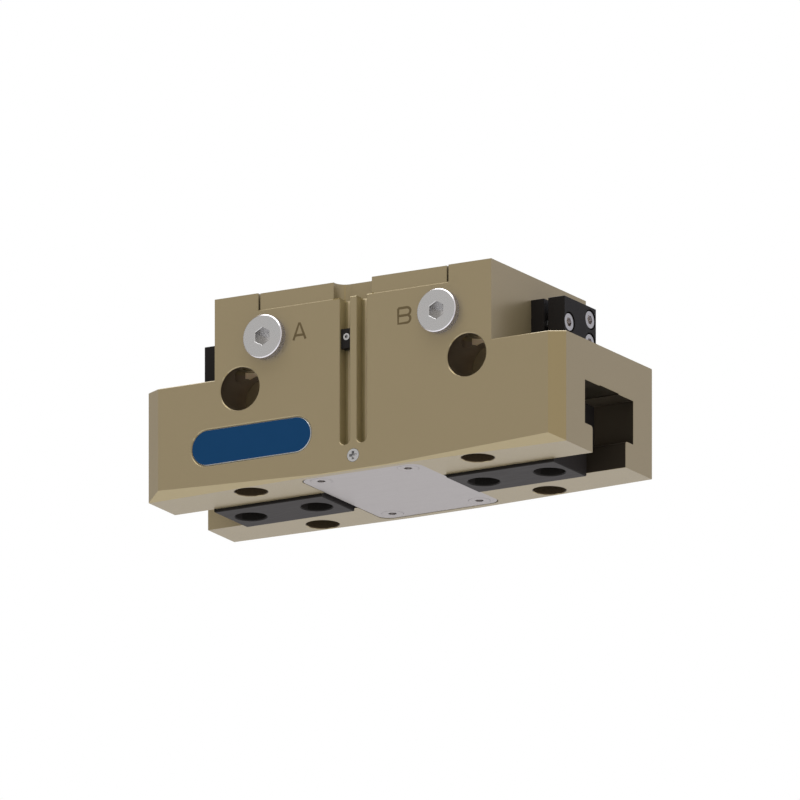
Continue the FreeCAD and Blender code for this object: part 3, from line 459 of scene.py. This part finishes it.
def bowl(centre_x, centre_y, radius):
    # Half circle on the right of an upright stroke, from its top to its foot.
    turns = [pi / 2 - pi * k / BOWL_STEPS for k in range(BOWL_STEPS + 1)]
    return [(centre_x + radius * cos(t), centre_y + radius * sin(t)) for t in turns]


def letter_a_strokes(w, h):
    # Two legs from a short flat top to feet a little below the line, and a low bar between them.
    half = w / 2
    share = (h - LETTER_A_BAR) / (h + LETTER_A_DROP)
    bar = LETTER_A_TOP + (half - LETTER_A_TOP) * share
    return [
        [(-half, -LETTER_A_DROP), (-LETTER_A_TOP, h), (LETTER_A_TOP, h), (half, -LETTER_A_DROP)],
        [(-bar, LETTER_A_BAR), (bar, LETTER_A_BAR)],
    ]


def letter_b_strokes(w, h):
    # An upright stroke with two equal bowls, and the bar between them.
    r = h / 4
    turn_x = w / 2 - r
    upper = bowl(turn_x, 3 * r, r)
    lower = bowl(turn_x, r, r)
    return [
        [(-w / 2, h), *upper, *lower, (-w / 2, 0), (-w / 2, h)],
        [(-w / 2, h / 2), (turn_x, h / 2)],
    ]


def port_letter(name, strokes, x):
    # Each stroke is a round bar pressed flat, half in the front face.
    curve = bpy.data.curves.new(name, "CURVE")
    curve.dimensions = "3D"
    curve.bevel_depth = LETTER_STROKE / 2
    curve.bevel_resolution = STROKE_ROUNDNESS
    curve.use_fill_caps = True
    for stroke in strokes:
        spline = curve.splines.new("POLY")
        spline.points.add(len(stroke) - 1)
        for point, (u, v) in zip(spline.points, stroke):
            point.co = (u, v, 0, 1)
    pen = bpy.data.objects.new(name, curve)
    mesh = bpy.data.meshes.new_from_object(pen)
    bpy.data.objects.remove(pen)
    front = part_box("housing")[0].y
    flat = Matrix.Diagonal((1, 1, LETTER_RELIEF / LETTER_STROKE, 1))
    upright = Matrix.Rotation(pi / 2, 4, "X")
    foot = Matrix.Translation((x, front, LETTER_Z - LETTER_H / 2 + LETTER_STROKE / 2))
    mesh.transform(foot @ upright @ flat)
    mesh.materials.append(ENGRAVED)
    piece = bpy.data.objects.new(name, mesh)
    bpy.context.scene.collection.objects.link(piece)
    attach(piece, "housing")


def port_letters():
    w = LETTER_W - LETTER_STROKE
    h = LETTER_H - LETTER_STROKE
    port_letter("port_letter_a", letter_a_strokes(w, h), LETTER_A_X)
    port_letter("port_letter_b", letter_b_strokes(w, h), LETTER_B_X)


def studio_floor():
    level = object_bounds()[0][2] - FLOOR_DROP
    half = FLOOR_SIZE / 2
    corners = [
        (-half, -half, level), (half, -half, level), (half, half, level), (-half, half, level),
    ]
    mesh = bpy.data.meshes.new("floor")
    mesh.from_pydata(corners, [], [(0, 1, 2, 3)])
    mesh.materials.append(studio_paper())
    floor = bpy.data.objects.new("floor", mesh)
    bpy.context.scene.collection.objects.link(floor)


def studio_light():
    # White surroundings, warmer in front than behind, seen by the camera as plain white.
    # One large soft box overhead also lights the floor.
    scene = bpy.context.scene
    scene.view_settings.view_transform = "Standard"
    world = bpy.data.worlds.new("white_studio")
    world.use_nodes = True
    tree = world.node_tree
    aim = add_node(tree, "ShaderNodeTexCoord").outputs["Generated"]
    side = add_node(tree, "ShaderNodeVectorMath", {0: aim, 1: WARM_SIDE}, operation="DOT_PRODUCT")
    ends = {"Value": side.outputs["Value"], "From Min": WARM_FADE[0], "From Max": WARM_FADE[1]}
    warmth = add_node(tree, "ShaderNodeMapRange", ends).outputs["Result"]
    seen = add_node(tree, "ShaderNodeLightPath").outputs["Is Camera Ray"]
    layers = [(warmth, colour(WARM_WHITE)), (seen, colour(PLAIN_WHITE))]
    white = lay_over(tree, colour(COOL_WHITE), layers)
    tree.links.new(white, tree.nodes["Background"].inputs["Color"])
    scene.world = world
    lamp = bpy.data.lights.new("softbox", "AREA")
    lamp.size = SOFTBOX_SIZE
    lamp.energy = SOFTBOX_POWER
    softbox = bpy.data.objects.new("softbox", lamp)
    softbox.location = (0, 0, SOFTBOX_HEIGHT)
    scene.collection.objects.link(softbox)


def studio_camera():
    right = Vector((cos(VIEW_AZIMUTH), sin(VIEW_AZIMUTH), 0))
    level = Vector((sin(VIEW_AZIMUTH), -cos(VIEW_AZIMUTH), 0))
    towards = level * cos(VIEW_ELEVATION) + Vector((0, 0, sin(VIEW_ELEVATION)))
    up = towards.cross(right)
    underside = Vector((0, 0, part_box("housing")[0].z))
    aim = underside + right * AIM_RIGHT + up * AIM_UP
    lens = bpy.data.cameras.new("camera")
    lens.type = "ORTHO"
    lens.ortho_scale = VIEW_WIDTH
    camera = bpy.data.objects.new("camera", lens)
    turn = Matrix((right, up, towards)).transposed().to_4x4()
    camera.matrix_world = Matrix.Translation(aim + towards * VIEW_DISTANCE) @ turn
    bpy.context.scene.collection.objects.link(camera)
    bpy.context.scene.camera = camera


ENGRAVED = engraved_line()
dress_solids()
port_letters()
studio_floor()
studio_light()
studio_camera()
